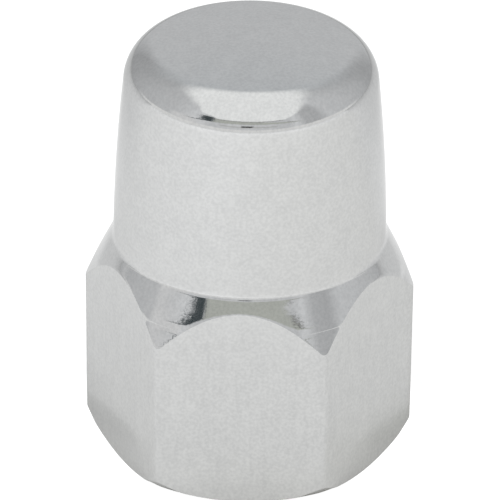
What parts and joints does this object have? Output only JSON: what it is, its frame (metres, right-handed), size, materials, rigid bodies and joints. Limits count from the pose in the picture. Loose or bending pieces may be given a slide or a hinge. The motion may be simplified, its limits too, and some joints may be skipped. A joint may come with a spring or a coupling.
{
  "type": "axle nut",
  "caption": "Closed-end axle nut: a hexagon with a chamfered foot and scalloped shoulder below a tall barrel-sided cap, with a blind threaded hole that takes a hub axle.",
  "frame": {"origin": "centre of the bearing face, on the thread's axis", "axes": "+Z along the thread's axis from the bearing face to the crown of the cap; two flats of the hexagon face +Y and -Y"},
  "size_m": [0.0172, 0.015, 0.0233],
  "materials": {
    "chrome_plate": "bright chrome plate on turned steel"
  },
  "bodies": {
    "root": {"axle_nut": "chrome_plate"}
  },
  "joints": []
}
